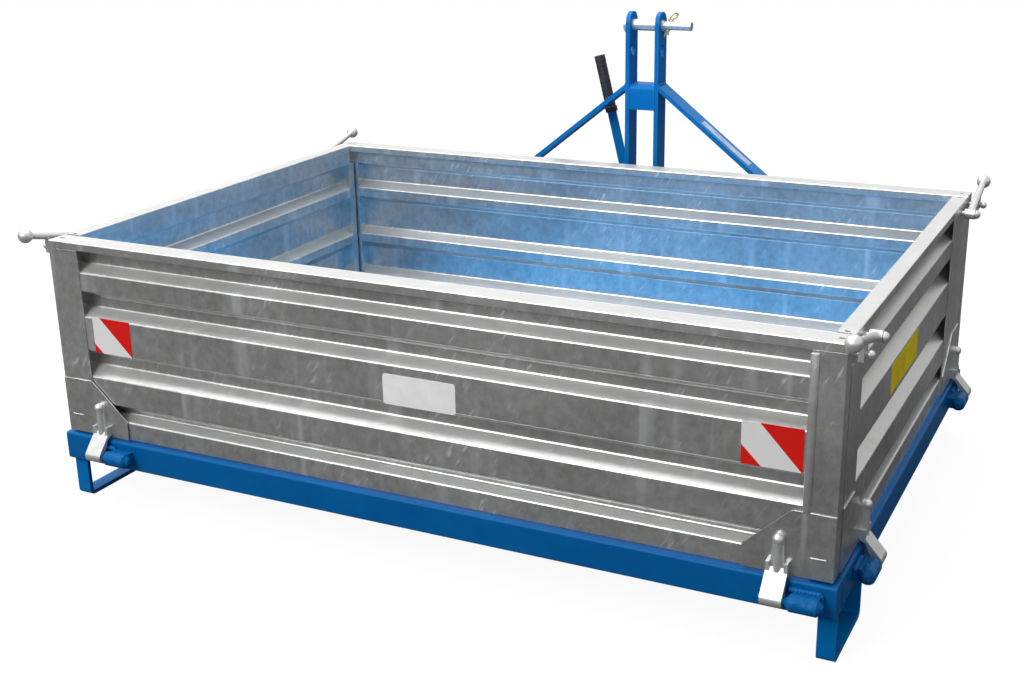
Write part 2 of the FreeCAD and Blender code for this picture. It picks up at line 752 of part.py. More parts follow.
shoulder = size["link_spread"] / 2
link_inner = shoulder - size["link_thick"]
upright_inner = size["fork_gap"] / 2
upright_outer = upright_inner + size["upright_thick"]
upright_top = size["pin_height"] + size["upright_cap"]
brace_foot = size["bridge_top"] - size["brace_fall"]
cross_bottom = size["link_height"] - size["tube_size"] / 2
cross_top = size["link_height"] + size["tube_size"] / 2
beam_top = size["beam_lift"] + size["beam_height"]


def link_plate(sign):
    """A side plate: from its shoe up past the lower link pin to the foot of the brace."""
    half_foot = size["link_depth"] / 2
    half_head = size["upright_depth"] / 2
    head = brace_foot + size["brace_thick"] / 2
    outline = [
        (tower_middle - half_foot, size["shoe_thick"]), (tower_middle + half_foot, size["shoe_thick"]),
        (tower_middle + half_foot, cross_top), (tower_middle + half_head, cross_top + half_foot),
        (tower_middle + half_head, head), (tower_middle - half_head, head),
        (tower_middle - half_head, cross_top + half_foot), (tower_middle - half_foot, cross_top),
    ]
    start = link_inner if sign > 0 else -shoulder
    return padded_outline("YZ", outline, size["link_thick"], start)


def upright(sign):
    low, high = (upright_inner, upright_outer) if sign > 0 else (-upright_outer, -upright_inner)
    half = size["upright_depth"] / 2
    bar = fuse(block(low, high, tower_front, tower_back, cross_top, upright_top - half),
               rod(low, tower_middle, upright_top - half, "+X", size["upright_thick"], half))
    holes = []
    for height in (size["pin_height"], size["pin_height"] - size["second_hole"]):
        over = size["tool_overrun"]
        holes.append(rod(low - over, tower_middle, height, "+X", size["upright_thick"] + over * 2,
                         size["top_pin_radius"] + size["pin_fit"]))
    return cut(bar, *holes)


def brace(sign):
    """A flat bar laid wide face up from the upright down to the side plate."""
    fall = size["brace_fall"].value / (link_inner - upright_outer).value
    drop = size["brace_thick"] * math.hypot(1, fall)
    outline = [
        (upright_outer * sign, size["bridge_top"]), (link_inner * sign, brace_foot),
        (link_inner * sign, brace_foot - drop), (upright_outer * sign, size["bridge_top"] - drop),
    ]
    return padded_outline("XZ", outline, size["upright_depth"], -tower_back)


def bridge():
    """A plate between the uprights, bent down on the load side."""
    bend = size["bridge_thick"] * 2
    thick = size["bridge_thick"]
    top = size["bridge_top"]
    flange = block(-upright_inner, upright_inner, tower_front + bend, tower_back, top - thick, top)
    apron = block(-upright_inner, upright_inner, tower_front, tower_front + thick,
                  top - size["bridge_height"], top - bend)
    knee = rod(-upright_inner, tower_front + bend, top - bend, "+X", size["fork_gap"], bend)
    over = size["tool_overrun"]
    inside = rod(-upright_inner - over, tower_front + bend, top - bend, "+X",
                 size["fork_gap"] + over * 2, bend - thick)
    quarter = block(-upright_inner, upright_inner, tower_front, tower_front + bend, top - bend, top)
    return fuse(flange, apron, common(cut(knee, inside), quarter))


def lower_link_pin(sign):
    axis = "+X" if sign > 0 else "-X"
    pin = rod(shoulder * sign, tower_middle, size["link_height"], axis, size["link_pin_length"],
              size["link_pin_radius"])
    hole_x = (shoulder + size["link_pin_hole"]) * sign
    half = size["link_pin_radius"] + size["tool_overrun"]
    hole = rod(hole_x, tower_middle, size["link_height"] - half, "+Z", half * 2,
               size["linchpin_radius"])
    return cut(soften_ends(pin, size["pin_bevel"]), hole)


def top_link_pin():
    """A stepped pin: a head, the thick part through both uprights, and a thin tail."""
    gap = size["head_gap"]
    head = rod(-upright_outer - gap, tower_middle, size["pin_height"], "-X", size["pin_head_thick"],
               size["top_pin_head"])
    thick = rod(-upright_outer - gap, tower_middle, size["pin_height"], "+X",
                (upright_outer + gap) * 2, size["top_pin_radius"])
    tail = rod(upright_outer, tower_middle, size["pin_height"], "+X", size["tail_length"],
               size["tail_radius"])
    return cut(fuse(head, thick, tail), clip_bore())


node("ground_beam", block(-link_inner, link_inner, tower_front, tower_back, size["beam_lift"], beam_top))
shoes = []
for sign in (-1, 1):
    plate_x = (shoulder - size["link_thick"] / 2) * sign
    shoes.append(block(plate_x - size["shoe_width"] / 2, plate_x + size["shoe_width"] / 2,
                       tower_middle - size["shoe_length"] / 2, tower_middle + size["shoe_length"] / 2,
                       0, size["shoe_thick"]))
node("chassis_shoes", group(*shoes))
node("link_plates", group(link_plate(-1), link_plate(1)))

bush = rod(0, tower_front - size["bush_proud"], size["link_height"], "+Y",
           size["tube_size"] + size["bush_proud"] * 2, size["bush_radius"])
bush_bore = rod(0, tower_front - size["tube_size"], size["link_height"], "+Y", size["tube_size"] * 3,
                size["shaft_radius"] + size["pin_fit"])
cross_tube = block(-link_inner, link_inner, tower_front, tower_back, cross_bottom, cross_top)
node("lower_cross_tube", cut(fuse(cross_tube, bush), bush_bore))
node("headstock_uprights", group(upright(-1), upright(1)))
node("headstock_bridge", bridge())
node("headstock_braces", group(brace(-1), brace(1)))
node("lower_link_pins", group(lower_link_pin(-1), lower_link_pin(1)))

clip_x = upright_outer + size["clip_offset"]
clip_lean = size["clip_tilt"].value
CLIP_TILT = Rotation(Vector(1, 0, 0), -clip_lean)


def clip_bore():
    """The slanted hole in the pin's tail that the clip's straight leg passes through."""
    bore = doc.addObject("Part::Cylinder", "rod")
    reach = size["tail_radius"] * 2
    bind(bore, Height=reach * 2, Radius=size["clip_wire"] + size["pin_fit"] / 2)
    low_y = tower_middle - reach * math.sin(math.radians(clip_lean))
    low_z = size["pin_height"] - reach * math.cos(math.radians(clip_lean))
    return put(bore, clip_x, low_y, low_z, CLIP_TILT)


def wire_ring(y, z, radius):
    """One turn of the clip's wire round an axis along X."""
    wire = size["clip_wire"]
    over = size["tool_overrun"]
    return cut(rod(-wire, y, z, "+X", wire * 2, radius + wire),
               rod(-wire - over, y, z, "+X", (wire + over) * 2, radius - wire))


def pin_clip():
    """A spring clip: one leg through the pin, one bent over it, joined by a ring of wire."""
    wire = size["clip_wire"]
    ring = size["clip_ring"]
    reach = size["tail_radius"] * 2
    straight = rod(0, 0, -reach, "+Z", reach * 2, wire)
    loop = wire_ring(ring, reach + wire, ring)
    saddle = wire_ring(0, 0, size["tail_radius"] + size["clip_play"] + wire)
    outer_half = block(-wire * 2, wire * 2, wire / 2, reach, -reach, reach)
    return fuse(straight, loop, common(saddle, outer_half))


node("top_link_pin", top_link_pin())
node("pin_clip", put(group(pin_clip()), clip_x, tower_middle, size["pin_height"], CLIP_TILT))


# Release lever ----------------------------------------------------------------------------------
# Drawn standing upright about its shaft, then leaned over by the handle's angle.

LEAN = Rotation(Vector(0, 1, 0), -size["lever_lean"].value)
shaft_front = box_middle + rail_side + size["hook_gap"]
bar_front = tower_back + size["lever_gap"]
grip_y = bar_front + size["bar_thick"] / 2
grip_foot = size["handle_reach"] - size["grip_length"]


def lean(*pieces):
    return put(group(*pieces), 0, 0, size["link_height"], LEAN)


half_bar = size["bar_width"] / 2
node("release_shaft", rod(0, shaft_front, size["link_height"], "+Y",
                          bar_front + size["bar_thick"] - shaft_front, size["shaft_radius"]))
proud = size["bar_boss_proud"]
over = size["tool_overrun"]
bar = fuse(block(-half_bar, half_bar, bar_front, bar_front + size["bar_thick"], 0, grip_foot),
           rod(0, bar_front - proud, 0, "+Y", size["bar_thick"] + proud * 2, size["bush_radius"]))
bar = cut(bar, rod(0, bar_front - proud - over, 0, "+Y", size["bar_thick"] + (proud + over) * 2,
                   size["shaft_radius"]))
node("release_bar", lean(bar))
grip = fuse(soften_ends(rod(0, grip_y, grip_foot, "+Z", size["grip_length"], size["grip_radius"]),
                        size["grip_collar"]),
            rod(0, grip_y, grip_foot, "+Z", size["grip_radius"], size["grip_radius"] + size["grip_collar"]))
node("release_grip", lean(grip))


def release_hook():
    """The latch plate on the shaft, its open notch round the catch pin."""
    half = size["hook_width"] / 2
    low = size["catch_height"] - size["catch_radius"] * 3
    opening = size["catch_radius"] + size["hook_play"]
    arm = fuse(block(-half, half, shaft_front, shaft_front + size["hook_thick"], low, size["link_height"]),
               rod(0, shaft_front, size["link_height"], "+Y", size["hook_thick"], size["bush_radius"]))
    through = size["hook_thick"] + over * 2
    notch = block(0, half * 2, shaft_front - over, shaft_front - over + through,
                  size["catch_height"] - opening, size["catch_height"] + opening)
    root = rod(0, shaft_front - over, size["catch_height"], "+Y", through, opening)
    bore = rod(0, shaft_front - over, size["link_height"], "+Y", through, size["shaft_radius"])
    return cut(arm, notch, root, bore)


node("release_hook", release_hook())


# Check every object, then write one file for each node -----------------------------------------

doc.recompute()
for thing in doc.Objects:
    if "Invalid" in thing.State or "Error" in thing.State:
        raise RuntimeError(f"{thing.Label} failed: {thing.State}")
os.makedirs("parts", exist_ok=True)
for name, piece in nodes.items():
    if piece.Shape.isNull() or not piece.Shape.isValid():
        raise RuntimeError(f"{name} is not a valid shape")
for name, piece in nodes.items():
    piece.Shape.exportStep(os.path.join("parts", f"{name}.step"))
print(f"{len(nodes)} nodes written")
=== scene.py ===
import math

import bmesh
import bpy
from mathutils import Matrix, Vector


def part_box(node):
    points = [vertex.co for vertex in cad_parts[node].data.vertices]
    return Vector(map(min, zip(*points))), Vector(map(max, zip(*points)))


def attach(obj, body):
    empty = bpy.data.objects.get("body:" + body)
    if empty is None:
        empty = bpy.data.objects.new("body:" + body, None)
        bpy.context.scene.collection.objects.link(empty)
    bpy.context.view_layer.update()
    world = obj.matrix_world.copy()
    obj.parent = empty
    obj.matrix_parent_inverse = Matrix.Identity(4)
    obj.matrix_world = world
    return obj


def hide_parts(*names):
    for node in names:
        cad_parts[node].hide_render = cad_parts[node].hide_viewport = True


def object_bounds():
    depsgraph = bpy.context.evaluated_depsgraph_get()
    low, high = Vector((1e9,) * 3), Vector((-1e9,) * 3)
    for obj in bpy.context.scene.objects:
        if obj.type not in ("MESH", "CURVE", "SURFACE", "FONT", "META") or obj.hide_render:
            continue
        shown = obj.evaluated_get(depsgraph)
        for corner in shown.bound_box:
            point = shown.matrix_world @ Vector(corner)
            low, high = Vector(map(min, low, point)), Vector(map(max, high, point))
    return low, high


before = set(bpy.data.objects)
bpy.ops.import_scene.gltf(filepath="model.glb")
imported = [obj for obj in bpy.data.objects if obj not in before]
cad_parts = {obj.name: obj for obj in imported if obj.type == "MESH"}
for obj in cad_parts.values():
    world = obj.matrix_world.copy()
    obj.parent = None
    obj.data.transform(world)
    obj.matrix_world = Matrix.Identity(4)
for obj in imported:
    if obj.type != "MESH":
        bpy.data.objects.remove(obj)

cad_box = [list(corner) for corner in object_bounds()]


# Camera -----------------------------------------------------------------------------------------
# Stands in front of the box, a little above its walls and to the right of its middle, and looks
# down into it over the right front corner.

CAMERA_PLACE = (1.1695, -2.45905, 1.1782)
CAMERA_HEADING = -0.4641
CAMERA_DIP = 0.3311
CAMERA_ROLL = -0.0177
CAMERA_LENS = 49.01

ahead = Vector((math.sin(CAMERA_HEADING) * math.cos(CAMERA_DIP),
                math.cos(CAMERA_HEADING) * math.cos(CAMERA_DIP), -math.sin(CAMERA_DIP)))
level = Vector((math.cos(CAMERA_HEADING), -math.sin(CAMERA_HEADING), 0))
upward = level.cross(ahead)
across = level * math.cos(CAMERA_ROLL) + upward * math.sin(CAMERA_ROLL)
upward = across.cross(ahead)
camera = bpy.data.objects.new("camera", bpy.data.cameras.new("camera"))
bpy.context.scene.collection.objects.link(camera)
camera.data.lens = CAMERA_LENS
camera.data.sensor_width = 36
camera.data.clip_end = 200
turn = Matrix((across, upward, -ahead)).transposed().to_4x4()
camera.matrix_world = Matrix.Translation(CAMERA_PLACE) @ turn
bpy.context.scene.camera = camera
bpy.context.scene.view_settings.view_transform = "Standard"


# Floor and light --------------------------------------------------------------------------------
# A pale studio floor under a white surround, which bare metal sees fade to grey at the horizon. A
# wide soft panel hangs overhead, left of the box, and a smaller one stands at the front left.

FLOOR_SIZE = 40
FLOOR_GAP = 0.0005
FLOOR_TONE = (0.10, 0.10, 0.10, 1)
FLOOR_GLOW = 0.93
SURROUND_LEVEL = 0.48
HORIZON_LEVEL = 0.12
WHITE = (1, 1, 1, 1)


def new_material(name):
    """An empty board with a Principled shader wired to its output."""
    material = bpy.data.materials.new(name)
    material.use_nodes = True
    board = material.node_tree
    return material, board, board.nodes["Principled BSDF"]


def add(board, kind, values=None, **settings):
    """A node on a board, with its settings and its socket values."""
    made = board.nodes.new(kind)
    for key, value in settings.items():
        setattr(made, key, value)
    for key, value in (values or {}).items():
        made.inputs[key].default_value = value
    return made


def feed(board, socket, given):
    """Give a socket another socket's output, or a plain value."""
    if isinstance(given, bpy.types.NodeSocket):
        board.links.new(given, socket)
    else:
        socket.default_value = given


def combine(board, operation, *values):
    """A sum on sockets or numbers."""
    made = add(board, "ShaderNodeMath", operation=operation)
    for socket, given in zip(made.inputs, values):
        feed(board, socket, given)
    return made.outputs[0]


def spread(board, value, low, high, to_low=0.0, to_high=1.0):
    """A value carried from one range to another and held inside it."""
    made = add(board, "ShaderNodeMapRange", {"From Min": low, "From Max": high,
                                             "To Min": to_low, "To Max": to_high})
    board.links.new(value, made.inputs["Value"])
    return made.outputs["Result"]


def deselect():
    """Nothing selected, out of edit mode, before a new piece is started."""
    if bpy.context.object and bpy.context.object.mode != "OBJECT":
        bpy.ops.object.mode_set(mode="OBJECT")
    bpy.ops.object.select_all(action="DESELECT")


deselect()
bpy.ops.mesh.primitive_plane_add(size=FLOOR_SIZE, location=(0, 0, cad_box[0][2] - FLOOR_GAP))
floor = bpy.context.object
floor.name = "studio_floor"
material, board, shader = new_material("pale_floor")
shader.inputs["Base Color"].default_value = FLOOR_TONE
shader.inputs["Roughness"].default_value = 0.9
shader.inputs["Specular IOR Level"].default_value = 0.1
shader.inputs["Emission Color"].default_value = WHITE
rays = add(board, "ShaderNodeLightPath")
board.links.new(combine(board, "MULTIPLY", rays.outputs["Is Camera Ray"], FLOOR_GLOW),
                shader.inputs["Emission Strength"])
floor.data.materials.append(material)

world = bpy.data.worlds.new("surround")
bpy.context.scene.world = world
world.use_nodes = True
sky = world.node_tree
rays = add(sky, "ShaderNodeLightPath")
direction = add(sky, "ShaderNodeSeparateXYZ")
sky.links.new(add(sky, "ShaderNodeTexCoord").outputs["Generated"], direction.inputs[0])
mirrored = spread(sky, direction.outputs["Z"], 0.02, 0.22, HORIZON_LEVEL)
soft = add(sky, "ShaderNodeMix", {2: SURROUND_LEVEL})
sky.links.new(rays.outputs["Is Glossy Ray"], soft.inputs[0])
sky.links.new(mirrored, soft.inputs[3])
backing = sky.nodes["Background"]
backing.inputs["Color"].default_value = WHITE
sky.links.new(combine(sky, "MAXIMUM", rays.outputs["Is Camera Ray"], soft.outputs[0]),
              backing.inputs["Strength"])


def light_panel(name, place, aim, width, height, radiance):
    """A soft panel turned to face a point, as bright as given all over its surface."""
    panel = bpy.data.objects.new(name, bpy.data.lights.new(name, "AREA"))
    bpy.context.scene.collection.objects.link(panel)
    panel.data.shape = "RECTANGLE"
    panel.data.size = width
    panel.data.size_y = height
    panel.data.energy = radiance * width * height * math.pi
    panel.location = place
    panel.rotation_euler = (Vector(aim) - Vector(place)).to_track_quat("-Z", "Y").to_euler()


light_panel("overhead_panel", place=(-2.0, 0.4, 4.3), aim=(-2.0, 0.4, 0),
            width=6.2, height=4.0, radiance=3.5)
light_panel("front_panel", place=(-1.5, -4.4, 3.4), aim=(0, 0, 0.3),
            width=2.6, height=2.6, radiance=7.2)


# Walls ------------------------------------------------------------------------------------------
# Roll-formed sheet between tube posts under a flat top rail, hot-dip galvanised after welding. The
# zinc has a soft spangle, runs and slanting scuffs, a painted highlight along its edges, and it has
# gone chalky where it faces up.

def new_group(name, inputs, outputs):
    """A node group with named sockets, and the ends to wire from and to."""
    group = bpy.data.node_groups.new(name, "ShaderNodeTree")
    for way, sockets in (("INPUT", inputs), ("OUTPUT", outputs)):
        for key, kind in sockets.items():
            group.interface.new_socket(key, in_out=way, socket_type="NodeSocket" + kind)
    return group, add(group, "NodeGroupInput").outputs, add(group, "NodeGroupOutput").inputs


def place_group(board, group, **values):
    """A node group put on a board with its own values."""
    made = board.nodes.new("ShaderNodeGroup")
    made.node_tree = group
    for key, value in values.items():
        made.inputs[key].default_value = value
    return made


def edge_glow():
    """A group that finds a piece's edges: a mask, and a normal with the edges rounded."""
    group, given, result = new_group("edge_glow", {"Radius": "Float"},
                                     {"Mask": "Float", "Normal": "Vector"})
    join = group.links.new
    bevel = add(group, "ShaderNodeBevel", samples=4)
    join(given["Radius"], bevel.inputs["Radius"])
    match = add(group, "ShaderNodeVectorMath", operation="DOT_PRODUCT")
    join(bevel.outputs["Normal"], match.inputs[0])
    join(add(group, "ShaderNodeNewGeometry").outputs["Normal"], match.inputs[1])
    join(spread(group, match.outputs["Value"], 1.0, 0.86), result["Mask"])
    join(bevel.outputs["Normal"], result["Normal"])
    return group


EDGE_GLOW = edge_glow()


def on_piece(board):
    """The place on the piece, in metres."""
    return add(board, "ShaderNodeTexCoord").outputs["Object"]


def noise(board, place, scale, detail, roughness=0.5):
    """Soft noise over the surface, from 0 to 1."""
    made = add(board, "ShaderNodeTexNoise", {"Scale": scale, "Detail": detail,
                                             "Roughness": roughness})
    board.links.new(place, made.inputs["Vector"])
    return made.outputs["Fac"]


def blend(board, factor, first, second, **settings):
    """A colour between two, by a mask."""
    made = add(board, "ShaderNodeMix", data_type="RGBA", **settings)
    for socket, given in zip((made.inputs[0], made.inputs[6], made.inputs[7]),
                             (factor, first, second)):
        feed(board, socket, given)
    return made.outputs[2]


def bump(board, height, strength, distance, normal=None):
    """A normal with a height pressed into it."""
    made = add(board, "ShaderNodeBump", {"Distance": distance})
    feed(board, made.inputs["Strength"], strength)
    board.links.new(height, made.inputs["Height"])
    if normal is not None:
        board.links.new(normal, made.inputs["Normal"])
    return made.outputs["Normal"]


def zinc_skin():
    """Hot-dip zinc between a deep and a pale tone."""
    group, given, result = new_group("zinc_skin", {"Deep": "Color", "Pale": "Color"},
                                     {"Base Color": "Color", "Metallic": "Float",
                                      "Roughness": "Float", "Normal": "Vector"})
    join = group.links.new
    place = on_piece(group)

    # Cloudy zinc with a faint spangle.
    clouds = noise(group, place, 4.5, 4.0, 0.55)
    cloudy = spread(group, clouds, 0.28, 0.76)
    mottled = spread(group, noise(group, place, 55.0, 3.0, 0.65), 0.30, 0.70)
    uneven = add(group, "ShaderNodeMix", {0: 0.5})
    join(cloudy, uneven.inputs[2])
    join(mottled, uneven.inputs[3])
    base = blend(group, uneven.outputs[0], given["Deep"], given["Pale"])
    spangle = add(group, "ShaderNodeTexVoronoi", {"Scale": 120.0, "Randomness": 1.0})
    join(place, spangle.inputs["Vector"])
    speckled = blend(group, 0.10, base, spangle.outputs["Color"], blend_type="SOFT_LIGHT")
    grey = add(group, "ShaderNodeRGBToBW")
    join(speckled, grey.inputs[0])
    muted = blend(group, 0.75, speckled, grey.outputs[0])

    # Runs down the sheet, and scuffs that lean and keep to the cloudier places.
    down = add(group, "ShaderNodeMapping")
    down.inputs["Scale"].default_value = (26, 26, 2.2)
    join(place, down.inputs["Vector"])
    runs = spread(group, noise(group, down.outputs["Vector"], 1.0, 2.0, 0.6), 0.57, 0.74)
    leaning = add(group, "ShaderNodeMapping", vector_type="TEXTURE")
    leaning.inputs["Rotation"].default_value = (0, 0.55, 0)
    leaning.inputs["Scale"].default_value = (0.0065, 0.0065, 0.030)
    join(place, leaning.inputs["Vector"])
    flecks = spread(group, noise(group, leaning.outputs["Vector"], 1.0, 1.0), 0.62, 0.74, 0.0, 1.5)
    scuffs = combine(group, "MULTIPLY", flecks, spread(group, clouds, 0.46, 0.60, 0.25))
    marks = combine(group, "MULTIPLY", combine(group, "MAXIMUM", runs, scuffs), 0.55)
    marked = blend(group, marks, muted, (0.86, 0.87, 0.88, 1))

    # Painted highlight: the base colour turns paler zinc along the edges.
    edges = place_group(group, EDGE_GLOW, Radius=0.0008)
    edge_highlighted = blend(group, combine(group, "MULTIPLY", edges.outputs["Mask"], 0.6), marked,
                  (0.80, 0.82, 0.84, 1))

    # Dull, chalky zinc on faces that look up.
    facing = add(group, "ShaderNodeVectorTransform", vector_type="NORMAL", convert_from="WORLD",
                 convert_to="OBJECT")
    join(add(group, "ShaderNodeNewGeometry").outputs["Normal"], facing.inputs[0])
    parts = add(group, "ShaderNodeSeparateXYZ")
    join(facing.outputs[0], parts.inputs[0])
    upturned = spread(group, parts.outputs["Z"], 0.55, 0.85, 0.0, 0.7)
    join(blend(group, upturned, edge_highlighted, (0.60, 0.612, 0.595, 1)), result["Base Color"])
    join(spread(group, upturned, 0.0, 1.0, 0.88, 0.34), result["Metallic"])
    sheen = spread(group, cloudy, 0.0, 1.0, 0.285, 0.36)
    join(combine(group, "MULTIPLY_ADD", marks, 0.16, sheen), result["Roughness"])

    # Shallow dents.
    swell = noise(group, place, 7.0, 1.0, 0.4)
    join(bump(group, swell, 0.06, 0.003, edges.outputs["Normal"]), result["Normal"])
    return group


def skinned(name, skin, specular=0.5, **values):
    """A material whose surface is a skin group with its own values."""
    material, board, shader = new_material(name)
    for socket in place_group(board, skin, **values).outputs:
        board.links.new(socket, shader.inputs[socket.name])
    shader.inputs["Specular IOR Level"].default_value = specular
    return material


def finish_nodes(material, *names):
    """Give carried-over nodes their finish."""
    for name in names:
        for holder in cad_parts[name].material_slots:
            holder.material = material


ZINC_SKIN = zinc_skin()
GALVANISED = skinned("galvanised", ZINC_SKIN,
                     Deep=(0.40, 0.410, 0.385, 1), Pale=(0.735, 0.750, 0.715, 1))
# The top rails, and the post lip below, get a paler copy of the wall zinc: painted highlight.
LIT_RAIL_ZINC = skinned("rail_zinc_painted_highlight", ZINC_SKIN,
                    Deep=(0.46, 0.470, 0.450, 1), Pale=(0.76, 0.768, 0.745, 1))
for wall in ("front", "rear", "left", "right"):
    finish_nodes(GALVANISED, f"{wall}_wall_sheet", f"{wall}_wall_posts",
                 f"{wall}_wall_corner_plates")
    finish_nodes(LIT_RAIL_ZINC, f"{wall}_wall_top_rail")


# Base frame and headstock -----------------------------------------------------------------------
# Square tube and flat bar, welded, primed and sprayed a semi-gloss blue. The rails and the hinge
# bosses welded to them are a darker blue, and the bosses' faces are lumpy.

ENAMEL_SPECULAR = 0.12
FLOOR_SEEN_TONE = (0.004, 0.20, 0.56, 1)


def enamel_skin():
    """Sprayed enamel with orange peel and a painted highlight along its edges; Ripple makes its
    face lumpy.
    """
    group, given, result = new_group("enamel_skin",
                                     {"Deep": "Color", "Pale": "Color", "Ripple": "Float"},
                                     {"Base Color": "Color", "Roughness": "Float",
                                      "Normal": "Vector"})
    join = group.links.new
    place = on_piece(group)
    cover = noise(group, place, 9.0, 6.0, 0.6)
    coat = blend(group, cover, given["Deep"], given["Pale"])
    edges = place_group(group, EDGE_GLOW, Radius=0.0018)
    # Painted highlight: the edges turn a paler blue.
    painted_edge_highlight = combine(group, "MULTIPLY", edges.outputs["Mask"], 0.5)
    join(blend(group, painted_edge_highlight, coat, (0.06, 0.30, 0.58, 1)), result["Base Color"])
    join(spread(group, cover, 0.0, 1.0, 0.28, 0.48), result["Roughness"])
    lumps = bump(group, noise(group, place, 95.0, 1.0), given["Ripple"], 0.004,
                 edges.outputs["Normal"])
    join(bump(group, noise(group, place, 420.0, 2.0), 0.06, 0.0008, lumps), result["Normal"])
    return group


ENAMEL_SKIN = enamel_skin()
BLUE_ENAMEL = skinned("blue_enamel", ENAMEL_SKIN, ENAMEL_SPECULAR,
                      Deep=(0, 0.118, 0.38, 1), Pale=(0, 0.20, 0.57, 1), Ripple=0.0)
RAIL_ENAMEL = skinned("rail_enamel", ENAMEL_SKIN, ENAMEL_SPECULAR,
                      Deep=(0, 0.080, 0.275, 1), Pale=(0, 0.136, 0.41, 1), Ripple=0.0)
BOSS_ENAMEL = skinned("boss_enamel", ENAMEL_SKIN, ENAMEL_SPECULAR,
                      Deep=(0, 0.080, 0.265, 1), Pale=(0, 0.135, 0.40, 1), Ripple=0.8)

# The floor plate's paint is a workaround: the walls mirror a blue about twice as bright as the one
# that is seen directly, so that the zinc inside takes on enough blue. Real paint has only one tone.
FLOOR_ENAMEL = skinned("floor_enamel", ENAMEL_SKIN, ENAMEL_SPECULAR,
                       Deep=(0.01, 0.34, 0.88, 1), Pale=(0.04, 0.46, 0.97, 1), Ripple=0.0)
board = FLOOR_ENAMEL.node_tree
shader = board.nodes["Principled BSDF"]
rays = add(board, "ShaderNodeLightPath")
mirrored_tone = shader.inputs["Base Color"].links[0].from_socket
board.links.new(blend(board, rays.outputs["Is Camera Ray"], mirrored_tone, FLOOR_SEEN_TONE),
                shader.inputs["Base Color"])

finish_nodes(FLOOR_ENAMEL, "floor_plate")
finish_nodes(RAIL_ENAMEL, "base_long_rails", "base_end_rails")
finish_nodes(BOSS_ENAMEL, "front_hinge_bosses", "left_hinge_bosses", "right_hinge_bosses")
finish_nodes(BLUE_ENAMEL, "floor_members", "front_feet", "rear_wall_brackets", "pivot_brackets",
             "chassis_beams", "ground_beam", "chassis_shoes", "link_plates", "lower_cross_tube",
             "headstock_uprights", "headstock_bridge", "headstock_braces", "release_bar",
             "release_hook")


# Levers, pins and straps ------------------------------------------------------------------------
# Drop-forged levers and hinge straps and turned pins, plated with bright zinc over a slightly
# pitted skin.

def bright_zinc():
    material, board, shader = new_material("bright_zinc")
    join = board.links.new
    cast = noise(board, on_piece(board), 60.0, 5.0, 0.6)
    join(blend(board, cast, (0.52, 0.53, 0.53, 1), (0.76, 0.77, 0.76, 1)),
         shader.inputs["Base Color"])
    shader.inputs["Metallic"].default_value = 0.65
    join(spread(board, cast, 0.0, 1.0, 0.285, 0.42), shader.inputs["Roughness"])
    edges = place_group(board, EDGE_GLOW, Radius=0.0012)
    join(bump(board, cast, 0.15, 0.0006, edges.outputs["Normal"]), shader.inputs["Normal"])
    return material


BRIGHT_ZINC = bright_zinc()
finish_nodes(BRIGHT_ZINC, "top_link_pin", "lower_link_pins", "catch_pin", "release_shaft",
             "pivot_pins", "front_left_lever", "front_right_lever", "rear_left_lever",
             "rear_right_lever", "front_lever_studs", "rear_lever_studs", "left_lever_bolts",
             "right_lever_bolts", "front_wall_hinge_straps", "left_wall_hinge_straps",
             "right_wall_hinge_straps")


# Hazard panels ----------------------------------------------------------------------------------
# Two thin retroreflective sheets stuck to the front wall's broad middle crest, a white diagonal
# band between red corners, with the sheeting's fine cells.

PANEL_THICK = 0.0007
PANEL_DROP = (0.141, 0.211)
LEFT_PANEL = (-0.665, -0.577)
RIGHT_PANEL = (0.598, 0.694)
FOIL_EDGE = 0.0002
SHEETING_SPECULAR = 0.15
front_sheet_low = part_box("front_wall_sheet")[0]
wall_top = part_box("front_wall_top_rail")[1][2]


def sheeting_skin():
    """Retroreflective sheet: fine sealed cells under a dusty film."""
    group, given, result = new_group("sheeting_skin", {"Deep": "Color", "Pale": "Color"},
                                     {"Base Color": "Color", "Roughness": "Float",
                                      "Normal": "Vector"})
    join = group.links.new
    place = on_piece(group)
    cells = add(group, "ShaderNodeTexVoronoi", {"Scale": 420.0, "Randomness": 0.15},
                feature="DISTANCE_TO_EDGE")
    join(place, cells.inputs["Vector"])
    depth = cells.outputs["Distance"]
    join(blend(group, spread(group, depth, 0.0, 0.16), given["Deep"], given["Pale"]),
         result["Base Color"])
    join(spread(group, noise(group, place, 34.0, 5.0), 0.0, 1.0, 0.26, 0.44), result["Roughness"])
    join(bump(group, depth, 0.08, 0.0004), result["Normal"])
    return group


def start_slab(name, low, high):
    """A thin slab between two corners, its size and place already in its mesh."""
    deselect()
    middle = [(a + b) / 2 for a, b in zip(low, high)]
    extent = [b - a for a, b in zip(low, high)]
    bpy.ops.mesh.primitive_cube_add(size=1, location=middle, scale=extent)
    bpy.ops.object.transform_apply(location=True, rotation=True, scale=True)
    made = bpy.context.object
    made.name = name
    return made


def round_edges(piece, sharper_than, width, segments=2):
    """Bevel the edges that turn by more than an angle."""
    worked = piece.modifiers.new("rounded_edge", "BEVEL")
    worked.width = width
    worked.segments = segments
    worked.limit_method = "ANGLE"
    worked.angle_limit = sharper_than
    bpy.context.view_layer.objects.active = piece
    bpy.ops.object.modifier_apply(modifier=worked.name)


SHEETING_SKIN = sheeting_skin()
WHITE_SHEETING = skinned("white_sheeting", SHEETING_SKIN, SHEETING_SPECULAR,
                         Deep=(0.66, 0.67, 0.68, 1), Pale=(0.80, 0.80, 0.79, 1))
RED_SHEETING = skinned("red_sheeting", SHEETING_SKIN, SHEETING_SPECULAR,
                       Deep=(0.58, 0.009, 0.006, 1), Pale=(0.74, 0.014, 0.010, 1))


